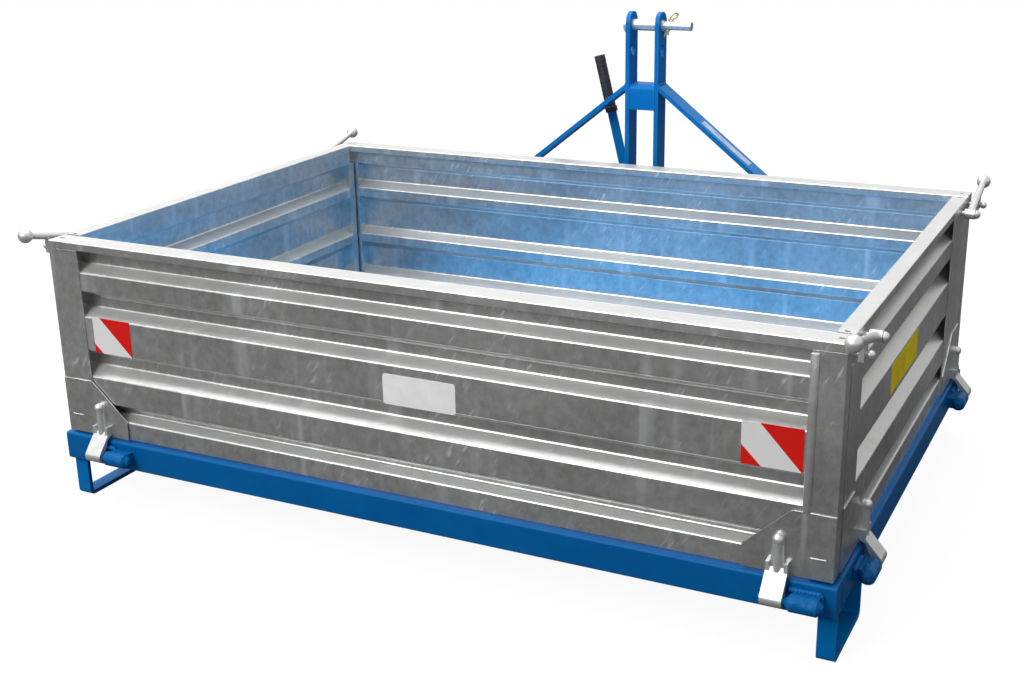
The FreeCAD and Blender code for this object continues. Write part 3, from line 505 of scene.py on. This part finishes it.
def hazard_panel(name, span, upper_cut, lower_cut):
    """A panel cut along the band's two edges, whose ends are shares of its width and height."""
    surface = front_sheet_low[1]
    low = (span[0], surface - PANEL_THICK, wall_top - PANEL_DROP[1])
    high = (span[1], surface, wall_top - PANEL_DROP[0])
    panel = start_slab(name, low, high)
    wide = high[0] - low[0]
    tall = high[2] - low[2]
    cuts = []
    for (x0, z0), (x1, z1) in (upper_cut, lower_cut):
        start = Vector((low[0] + wide * x0, 0, low[2] + tall * z0))
        end = Vector((low[0] + wide * x1, 0, low[2] + tall * z1))
        run = end - start
        cuts.append((start, Vector((-run.z, 0, run.x)).normalized()))
    bpy.ops.object.mode_set(mode="EDIT")
    for start, normal in cuts:
        bpy.ops.mesh.select_all(action="SELECT")
        bpy.ops.mesh.bisect(plane_co=start, plane_no=normal)
    bpy.ops.object.mode_set(mode="OBJECT")
    panel.data.materials.append(WHITE_SHEETING)
    panel.data.materials.append(RED_SHEETING)
    for face in panel.data.polygons:
        above, below = ((face.center - start).dot(normal) for start, normal in cuts)
        face.material_index = 1 if above > 0 or below < 0 else 0
    round_edges(panel, sharper_than=0.6, width=FOIL_EDGE)
    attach(panel, "front_wall")


hazard_panel("hazard_panel_left", LEFT_PANEL,
             upper_cut=((0.20, 1.0), (1.0, 0.0)), lower_cut=((0.0, 0.26), (0.22, 0.0)))
hazard_panel("hazard_panel_right", RIGHT_PANEL,
             upper_cut=((0.30, 1.0), (0.99, 0.0)), lower_cut=((0.0, 0.46), (0.34, 0.0)))


# Blank labels -----------------------------------------------------------------------------------
# Printed foil with rounded corners: white on the front wall, yellow on the right end wall, and a
# pale strip on the right brace. All are left bare.

LABEL_THICK = 0.0006
WHITE_LABEL_SPAN = (-0.031, 0.109)
WHITE_LABEL_DROP = (0.159, 0.214)
YELLOW_LABEL_SPAN = (0.344, 0.560)
YELLOW_LABEL_DROP = (0.146, 0.200)
STRIP_SPAN = (0.128, 0.272)
STRIP_SIDES = (-0.014, 0.010)
BRACE_FOOT = 0.408
FOIL_SPECULAR = 0.12


def foil_skin():
    """Printed foil, a little soiled and wrinkled."""
    group, given, result = new_group("foil_skin", {"Deep": "Color", "Pale": "Color"},
                                     {"Base Color": "Color", "Roughness": "Float",
                                      "Normal": "Vector"})
    join = group.links.new
    soil = noise(group, on_piece(group), 22.0, 8.0, 0.7)
    join(blend(group, spread(group, soil, 0.38, 0.66), given["Deep"], given["Pale"]),
         result["Base Color"])
    join(spread(group, soil, 0.0, 1.0, 0.6, 0.42), result["Roughness"])
    join(bump(group, soil, 0.05, 0.001), result["Normal"])
    return group


def round_corners(piece, thin_axis, radius):
    """Bevel a slab's four short edges, those along its thin axis."""
    bpy.ops.object.mode_set(mode="EDIT")
    bpy.ops.mesh.select_all(action="DESELECT")
    mesh = bmesh.from_edit_mesh(piece.data)
    for edge in mesh.edges:
        run = edge.verts[1].co - edge.verts[0].co
        edge.select_set(abs(run.normalized()[thin_axis]) > 0.99)
    bmesh.update_edit_mesh(piece.data)
    bpy.ops.mesh.bevel(offset=radius, offset_type="OFFSET", segments=6, profile=0.5)
    bpy.ops.object.mode_set(mode="OBJECT")


def pick(piece):
    """One piece selected and active, and nothing else."""
    deselect()
    piece.select_set(True)
    bpy.context.view_layer.objects.active = piece


FOIL_SKIN = foil_skin()
white_label = start_slab("blank_white_label",
                         (WHITE_LABEL_SPAN[0], front_sheet_low[1] - LABEL_THICK,
                          wall_top - WHITE_LABEL_DROP[1]),
                         (WHITE_LABEL_SPAN[1], front_sheet_low[1], wall_top - WHITE_LABEL_DROP[0]))
round_corners(white_label, thin_axis=1, radius=0.006)
white_label.data.materials.append(skinned("white_foil", FOIL_SKIN, FOIL_SPECULAR,
                                          Deep=(0.82, 0.82, 0.83, 1), Pale=(0.90, 0.90, 0.90, 1)))
round_edges(white_label, sharper_than=0.6, width=FOIL_EDGE)
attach(white_label, "front_wall")

right_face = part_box("right_wall_sheet")[1][0]
front_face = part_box("front_wall_top_rail")[0][1]
yellow_label = start_slab("blank_yellow_label",
                          (right_face, front_face + YELLOW_LABEL_SPAN[0],
                           wall_top - YELLOW_LABEL_DROP[1]),
                          (right_face + LABEL_THICK, front_face + YELLOW_LABEL_SPAN[1],
                           wall_top - YELLOW_LABEL_DROP[0]))
round_corners(yellow_label, thin_axis=0, radius=0.004)
yellow_label.data.materials.append(skinned("yellow_foil", FOIL_SKIN, FOIL_SPECULAR,
                                           Deep=(0.74, 0.56, 0.0, 1), Pale=(0.98, 0.80, 0.0, 1)))
round_edges(yellow_label, sharper_than=0.6, width=FOIL_EDGE)
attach(yellow_label, "right_wall")

# The strip is made flat and then laid along the brace's upper face.
upright_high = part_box("headstock_uprights")[1]
brace_low, brace_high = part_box("headstock_braces")
brace_top = Vector((upright_high[0], (brace_low[1] + brace_high[1]) / 2, brace_high[2]))
brace_end = Vector((brace_high[0], brace_top.y, BRACE_FOOT))
run = (brace_end - brace_top).normalized()
across = Vector((0, 1, 0))
strip = start_slab("blank_brace_strip", (STRIP_SPAN[0], STRIP_SIDES[0], 0.0),
                   (STRIP_SPAN[1], STRIP_SIDES[1], LABEL_THICK))
round_corners(strip, thin_axis=2, radius=0.002)
round_edges(strip, sharper_than=0.6, width=FOIL_EDGE)
strip.matrix_world = (Matrix.Translation(brace_top)
                      @ Matrix((run, across, run.cross(across))).transposed().to_4x4())
pick(strip)
bpy.ops.object.transform_apply(location=True, rotation=True, scale=True)
strip.data.materials.append(skinned("pale_foil", FOIL_SKIN, FOIL_SPECULAR,
                                    Deep=(0.28, 0.40, 0.56, 1), Pale=(0.60, 0.68, 0.80, 1)))
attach(strip, "headstock")


# Grip -------------------------------------------------------------------------------------------
# A moulded black rubber sleeve pushed over the release lever, with a flat end, shallow rings for
# the fingers and a thicker collar at its foot.

GRIP_RADIUS = 0.0125
GRIP_LENGTH = 0.134
GRIP_FOOT = 0.414
GRIP_LEAN = math.radians(14)
LEVER_AXIS_HEIGHT = 0.213
FIRST_RING = 0.020
LAST_RING = 0.012
RING_STEP = 0.0095
RING_REACH = 0.0022
GROOVE_SHARE = 0.965
COLLAR_TOP = 0.012
COLLAR_SHOULDER = 0.0135
COLLAR_SHARE = 1.14


def black_rubber():
    material, board, shader = new_material("black_rubber")
    join = board.links.new
    place = on_piece(board)
    wear = noise(board, place, 45.0, 6.0)
    join(blend(board, wear, (0.006, 0.006, 0.007, 1), (0.028, 0.028, 0.030, 1)),
         shader.inputs["Base Color"])
    join(spread(board, wear, 0.0, 1.0, 0.48, 0.72), shader.inputs["Roughness"])
    join(bump(board, noise(board, place, 900.0, 3.0), 0.25, 0.0004), shader.inputs["Normal"])
    return material


deselect()
bpy.ops.mesh.primitive_cylinder_add(vertices=40, radius=GRIP_RADIUS, depth=GRIP_LENGTH,
                                    location=(0, 0, GRIP_FOOT + GRIP_LENGTH / 2))
bpy.ops.object.transform_apply(location=True, rotation=True, scale=True)
grip = bpy.context.object
grip.name = "grip_sleeve"
grooves = []
height = GRIP_FOOT + FIRST_RING
while height < GRIP_FOOT + GRIP_LENGTH - LAST_RING:
    grooves.append(height)
    height += RING_STEP
rings = [groove + reach for groove in grooves for reach in (-RING_REACH, 0, RING_REACH)]
rings += [GRIP_FOOT + COLLAR_TOP, GRIP_FOOT + COLLAR_SHOULDER]
bpy.ops.object.mode_set(mode="EDIT")
for height in rings:
    bpy.ops.mesh.select_all(action="SELECT")
    bpy.ops.mesh.bisect(plane_co=(0, 0, height), plane_no=(0, 0, 1))
mesh = bmesh.from_edit_mesh(grip.data)
for share, held in ((GROOVE_SHARE, lambda z: any(abs(z - groove) < 0.0002 for groove in grooves)),
                    (COLLAR_SHARE, lambda z: z < GRIP_FOOT + COLLAR_TOP + 0.0005)):
    bpy.ops.mesh.select_all(action="DESELECT")
    for vertex in mesh.verts:
        vertex.select_set(held(vertex.co.z))
    mesh.select_flush(True)
    bmesh.update_edit_mesh(grip.data)
    bpy.ops.transform.resize(value=(share, share, 1), center_override=(0, 0, 0))
bpy.ops.object.mode_set(mode="OBJECT")
round_edges(grip, sharper_than=1.0, width=0.0016, segments=3)
pick(grip)
bpy.ops.object.shade_smooth_by_angle(angle=0.6)
grip_low, grip_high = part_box("release_grip")
grip.matrix_world = (Matrix.Translation((0, (grip_low[1] + grip_high[1]) / 2, LEVER_AXIS_HEIGHT))
                     @ Matrix.Rotation(-GRIP_LEAN, 4, "Y"))
bpy.ops.object.transform_apply(location=True, rotation=True, scale=True)
grip.data.materials.append(black_rubber())
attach(grip, "release_lever")
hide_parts("release_grip")


# Spring clip ------------------------------------------------------------------------------------
# An R-shaped clip bent from yellow passivated spring wire: the straight leg goes through the pin's
# tail and the humped leg springs over it.

CLIP_WIRE = 0.0023
CLIP_TILT = math.radians(18)
CLIP_TURN = math.radians(35)
CLIP_OUTLINE = [
    (0, -0.026), (0, -0.014), (0, 0.0), (0, 0.012), (0.0005, 0.019), (0.003, 0.026),
    (0.009, 0.0294), (0.0165, 0.0281), (0.019, 0.0225), (0.0155, 0.0165), (0.009, 0.0165),
    (0.0075, 0.0125), (0.0105, 0.0085), (0.0135, 0.003), (0.0135, -0.003), (0.0105, -0.0085),
    (0.0065, -0.0125), (0.0065, -0.016), (0.0095, -0.022)]


def yellow_zinc():
    material, board, shader = new_material("yellow_zinc")
    join = board.links.new
    bloom = noise(board, on_piece(board), 110.0, 4.0)
    join(blend(board, bloom, (0.62, 0.47, 0.16, 1), (0.93, 0.85, 0.55, 1)),
         shader.inputs["Base Color"])
    shader.inputs["Metallic"].default_value = 0.8
    join(spread(board, bloom, 0.0, 1.0, 0.285, 0.4), shader.inputs["Roughness"])
    return material


def bent_wire(name, points, wire, close=False):
    """A round wire along smooth points, as a mesh in place."""
    line = bpy.data.curves.new(name, "CURVE")
    line.dimensions = "3D"
    line.bevel_depth = wire
    line.bevel_resolution = 3
    line.use_fill_caps = True
    spline = line.splines.new("NURBS")
    spline.points.add(len(points) - 1)
    for point, place in zip(spline.points, points):
        point.co = (*place, 1)
    spline.order_u = 4
    spline.use_endpoint_u = not close
    spline.use_cyclic_u = close
    spline.resolution_u = 6
    made = bpy.data.objects.new(name, line)
    bpy.context.scene.collection.objects.link(made)
    pick(made)
    bpy.ops.object.convert(target="MESH")
    made = bpy.context.object
    bpy.ops.object.shade_smooth()
    return made


pin_low, pin_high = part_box("top_link_pin")
clip_low, clip_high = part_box("pin_clip")
middle = Vector(((clip_low[0] + clip_high[0]) / 2, (pin_low[1] + pin_high[1]) / 2,
                 (pin_low[2] + pin_high[2]) / 2))
lean = Vector((math.sin(CLIP_TILT), 0, math.cos(CLIP_TILT)))
aside = Vector((math.sin(CLIP_TURN), math.cos(CLIP_TURN), 0))
clip = bent_wire("spring_clip", [middle + aside * side + lean * up for side, up in CLIP_OUTLINE],
                 CLIP_WIRE)
YELLOW_ZINC = yellow_zinc()
clip.data.materials.append(YELLOW_ZINC)
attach(clip, "headstock")
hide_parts("pin_clip")


# Linchpins --------------------------------------------------------------------------------------
# One through each lower link pin: a plated stem with a flattened head and a snap ring of spring
# wire that folds over the pin's end.

PIN_HOLE = 0.4675
STEM_RADIUS = 0.0052
STEM_LENGTH = 0.044
STEM_DROP = 0.002
HEAD_STEP = 0.001
HEAD_HEIGHT = 0.009
HEAD_SPREAD = (1.75, 1.35, 1)
RING_RADIUS = 0.0195
RING_WIRE = 0.0015
RING_LEAN = 0.001
RING_SET_IN = 0.002
RING_TOP = 0.024
RING_POINTS = 14
SIDES = ((-1, "left"), (1, "right"))
link_low, link_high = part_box("lower_link_pins")
link_y = (link_low[1] + link_high[1]) / 2
link_z = (link_low[2] + link_high[2]) / 2
for side, end in SIDES:
    hole_x = PIN_HOLE * side
    deselect()
    bpy.ops.mesh.primitive_cylinder_add(vertices=24, radius=STEM_RADIUS, depth=STEM_LENGTH,
                                        location=(hole_x, link_y, link_z - STEM_DROP))
    bpy.ops.object.transform_apply(location=True, rotation=True, scale=True)
    stem = bpy.context.object
    stem.name = f"linchpin_{end}"
    bpy.ops.object.mode_set(mode="EDIT")
    bpy.ops.mesh.select_all(action="DESELECT")
    mesh = bmesh.from_edit_mesh(stem.data)
    for face in mesh.faces:
        face.select_set(face.normal.z > 0.9)
    bmesh.update_edit_mesh(stem.data)
    bpy.ops.mesh.extrude_region_move(TRANSFORM_OT_translate={"value": (0, 0, HEAD_STEP)})
    bpy.ops.transform.resize(value=HEAD_SPREAD)
    bpy.ops.mesh.extrude_region_move(TRANSFORM_OT_translate={"value": (0, 0, HEAD_HEIGHT)})
    bpy.ops.object.mode_set(mode="OBJECT")
    round_edges(stem, sharper_than=0.8, width=0.0010, segments=2)
    ring_middle = Vector((hole_x - RING_SET_IN * side, link_y, link_z + RING_TOP - RING_RADIUS))
    loop = []
    for step in range(RING_POINTS):
        angle = 2 * math.pi * step / RING_POINTS
        loop.append(ring_middle + Vector((RING_LEAN * side * math.cos(angle),
                                          RING_RADIUS * math.cos(angle),
                                          RING_RADIUS * math.sin(angle))))
    ring = bent_wire(f"linchpin_ring_{end}", loop, RING_WIRE, close=True)
    pick(stem)
    ring.select_set(True)
    bpy.ops.object.join()
    bpy.ops.object.shade_smooth_by_angle(angle=0.6)
    stem.data.materials.append(YELLOW_ZINC)
    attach(stem, "headstock")


# Welds ------------------------------------------------------------------------------------------
# Short overlapping beads along the seams of the base frame and the headstock, painted with them,
# and finer ones that hold the galvanised corner plates.

SEAM_WELD = 0.006
CORNER_SEAM_IN = 0.006
BRACE_SEAM_IN = 0.003
TUBE_SEAM_IN = 0.004
UPRIGHT_SEAM = 0.008
BOSS_LENGTH = 0.060
BOSS_WELD = 0.010
BOSS_SEAM_IN = (0.004, 0.006)
BOSS_SEAM_DROP = 0.002
BOSS_SEAM_PROUD = 0.003
BOSS_END_WELD = 0.009
BOSS_END_IN = 0.008
BOSS_END_DROP = 0.004
BRIDGE_WELD = 0.004
BRIDGE_SEAM_IN = (0.003, 0.012)
PLATE_TOP_WELD = 0.003
PLATE_TOP_SEAM = (0.724, 0.684)
PLATE_TOP_SUNK = 0.001
PLATE_SIDE_WELD = 0.0035
PLATE_SIDE_SEAM = (0.737, 0.712)
PLATE_SIDE_DROP = 0.073


def weld(name, start, end, width, body, material):
    """A row of overlapping weld drops from one end of a seam to the other."""
    start, end = Vector(start), Vector(end)
    run = end - start
    pitch = width * 0.55
    count = max(2, int(run.length / pitch))
    deselect()
    bpy.ops.mesh.primitive_ico_sphere_add(subdivisions=2, radius=width / 2, location=start)
    bpy.ops.object.transform_apply(location=True, rotation=True, scale=True)
    bead = bpy.context.object
    bead.name = name
    bpy.ops.object.mode_set(mode="EDIT")
    bpy.ops.mesh.select_all(action="SELECT")
    bpy.ops.mesh.vertices_smooth(factor=0.3)
    bpy.ops.object.mode_set(mode="OBJECT")
    row = bead.modifiers.new("row", "ARRAY")
    row.count = count
    row.use_relative_offset = False
    row.use_constant_offset = True
    row.constant_offset_displace = run / count
    bpy.ops.object.modifier_apply(modifier=row.name)
    bpy.ops.object.shade_smooth()
    bead.data.materials.append(material)
    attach(bead, body)


def frame_weld(name, start, end, width):
    weld(name, start, end, width, "box", RAIL_ENAMEL)


def headstock_weld(name, start, end, width):
    weld(name, start, end, width, "headstock", BLUE_ENAMEL)


def plate_weld(name, start, end, width):
    weld(name, start, end, width, "front_wall", GALVANISED)


rail_low, rail_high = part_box("base_long_rails")
end_low, end_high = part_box("base_end_rails")
for side, end in SIDES:
    for y, row in ((end_low[1], "front"), (end_high[1], "rear")):
        x = end_high[0] * side
        frame_weld(f"weld_frame_{row}_{end}", (x, y, rail_low[2] + CORNER_SEAM_IN),
                   (x, y, rail_high[2] - CORNER_SEAM_IN), SEAM_WELD)

# Each boss has a bead along its top, and the front ones have another down their outer end.
boss_low, boss_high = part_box("front_hinge_bosses")
seam_y = rail_low[1] - BOSS_SEAM_PROUD
seam_z = boss_high[2] - BOSS_SEAM_DROP
for end, x0 in (("left", boss_low[0]), ("right", boss_high[0] - BOSS_LENGTH)):
    frame_weld(f"weld_front_boss_{end}", (x0 + BOSS_SEAM_IN[0], seam_y, seam_z),
               (x0 + BOSS_LENGTH - BOSS_SEAM_IN[1], seam_y, seam_z), BOSS_WELD)
    x1 = x0 + BOSS_LENGTH - BOSS_END_IN
    frame_weld(f"weld_front_boss_end_{end}", (x1, seam_y, boss_high[2] - BOSS_END_DROP),
               (x1, seam_y, boss_low[2] + BOSS_END_DROP), BOSS_END_WELD)
for side, end in SIDES:
    low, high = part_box(f"{end}_hinge_bosses")
    seam_x = (end_high[0] + BOSS_SEAM_PROUD) * side
    seam_z = high[2] - BOSS_SEAM_DROP
    for y0, row in ((low[1], "front"), (high[1] - BOSS_LENGTH, "rear")):
        frame_weld(f"weld_{end}_boss_{row}", (seam_x, y0 + BOSS_SEAM_IN[0], seam_z),
                   (seam_x, y0 + BOSS_LENGTH - BOSS_SEAM_IN[1], seam_z), BOSS_WELD)

# The headstock's braces, uprights, cross tube and bridge.
upright_low, upright_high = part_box("headstock_uprights")
tube_low, tube_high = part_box("lower_cross_tube")
bridge_low, bridge_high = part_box("headstock_bridge")
brace_start = brace_low[1] + BRACE_SEAM_IN
brace_stop = brace_high[1] - BRACE_SEAM_IN
for side, end in SIDES:
    x = upright_high[0] * side
    headstock_weld(f"weld_brace_top_{end}", (x, brace_start, brace_high[2]),
                   (x, brace_stop, brace_high[2]), SEAM_WELD)
    x = brace_high[0] * side
    z = BRACE_FOOT - 0.001
    headstock_weld(f"weld_brace_foot_{end}", (x, brace_start, z), (x, brace_stop, z), SEAM_WELD)
    for y, row in ((brace_low[1], "front"), (brace_high[1], "rear")):
        x = tube_high[0] * side
        headstock_weld(f"weld_tube_{row}_{end}", (x, y, tube_low[2] + TUBE_SEAM_IN),
                       (x, y, tube_high[2] - TUBE_SEAM_IN), SEAM_WELD)
        x = upright_low[0] * -side
        headstock_weld(f"weld_upright_{row}_{end}", (x - UPRIGHT_SEAM * side, y, tube_high[2]),
                       (x, y, tube_high[2]), SEAM_WELD)
for side, end in SIDES:
    x = bridge_high[0] * side
    headstock_weld(f"weld_bridge_{end}", (x, bridge_low[1], bridge_low[2] + BRIDGE_SEAM_IN[0]),
                   (x, bridge_low[1], bridge_high[2] - BRIDGE_SEAM_IN[1]), BRIDGE_WELD)

# The corner plates of the front wall.
plate_low, plate_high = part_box("front_wall_corner_plates")
seam_y = plate_low[1]
for side, end in SIDES:
    z = plate_high[2]
    plate_weld(f"weld_plate_top_{end}", (PLATE_TOP_SEAM[0] * side, seam_y + PLATE_TOP_SUNK, z),
               (PLATE_TOP_SEAM[1] * side, seam_y + PLATE_TOP_SUNK, z), PLATE_TOP_WELD)
    z = plate_high[2] - PLATE_SIDE_DROP
    plate_weld(f"weld_plate_side_{end}", (PLATE_SIDE_SEAM[0] * side, seam_y, z),
               (PLATE_SIDE_SEAM[1] * side, seam_y, z), PLATE_SIDE_WELD)


# Rolled lip and bolts ---------------------------------------------------------------------------
# The rounded lip where the right front post's cover is folded over, and the hexagon bolts with
# washers that hold the rear wall's lugs.

LIP_SPAN = (0.697, 0.711)
LIP_PROUD = 0.0036
LIP_TOP_GAP = 0.005
post_low, post_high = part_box("front_wall_posts")
lip_top = post_high[2] - LIP_TOP_GAP
deselect()
bpy.ops.mesh.primitive_cylinder_add(vertices=32, radius=1, depth=1)
lip = bpy.context.object
lip.name = "post_lip"
bpy.ops.object.mode_set(mode="EDIT")
bpy.ops.mesh.select_all(action="SELECT")
bpy.ops.mesh.bisect(plane_co=(0, 0, 0), plane_no=(0, 1, 0), clear_outer=True, use_fill=True)
bpy.ops.object.mode_set(mode="OBJECT")
lip.scale = ((LIP_SPAN[1] - LIP_SPAN[0]) / 2, LIP_PROUD, lip_top - plate_high[2])
lip.location = ((LIP_SPAN[0] + LIP_SPAN[1]) / 2, post_low[1], (lip_top + plate_high[2]) / 2)
bpy.ops.object.transform_apply(location=True, rotation=True, scale=True)
round_edges(lip, sharper_than=1.2, width=0.0012, segments=2)
pick(lip)
bpy.ops.object.shade_smooth_by_angle(angle=0.6)
# Paler copy of the wall zinc: painted highlight on the lip.
lip.data.materials.append(LIT_RAIL_ZINC)
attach(lip, "front_wall")

BOLT_RADIUS = 0.0095
BOLT_HEAD = 0.007
WASHER_RADIUS = 0.0125
WASHER_THICK = 0.002
LUG_WIDTH = 0.035
TOP_BOLT_DROP = 0.016
MIDDLE_BOLT_DROP = 0.046
FOOT_BOLT_RISE = 0.018
lug_low, lug_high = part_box("rear_wall_brackets")
bolt_rows = ((lug_high[2] - TOP_BOLT_DROP, "top"), (lug_high[2] - MIDDLE_BOLT_DROP, "middle"),
             (lug_low[2] + FOOT_BOLT_RISE, "foot"))
for x, end in ((lug_low[0] + LUG_WIDTH / 2, "left"), (lug_high[0] - LUG_WIDTH / 2, "right")):
    for z, row in bolt_rows:
        deselect()
        bpy.ops.mesh.primitive_cylinder_add(vertices=32, radius=WASHER_RADIUS, depth=WASHER_THICK,
                                            location=(x, lug_high[1] + WASHER_THICK / 2, z),
                                            rotation=(math.pi / 2, 0, 0))
        washer = bpy.context.object
        round_edges(washer, sharper_than=0.8, width=0.0005, segments=1)
        head_y = lug_high[1] + WASHER_THICK + BOLT_HEAD / 2
        tightened_to = 0.3 + z * 9
        bpy.ops.mesh.primitive_cylinder_add(vertices=6, radius=BOLT_RADIUS, depth=BOLT_HEAD,
                                            location=(x, head_y, z),
                                            rotation=(math.pi / 2, tightened_to, 0))
        bolt = bpy.context.object
        bolt.name = f"lug_bolt_{end}_{row}"
        round_edges(bolt, sharper_than=0.8, width=0.0012, segments=2)
        washer.select_set(True)
        bpy.ops.object.join()
        bpy.ops.object.transform_apply(location=True, rotation=True, scale=True)
        bolt.data.materials.append(BRIGHT_ZINC)
        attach(bolt, "box")
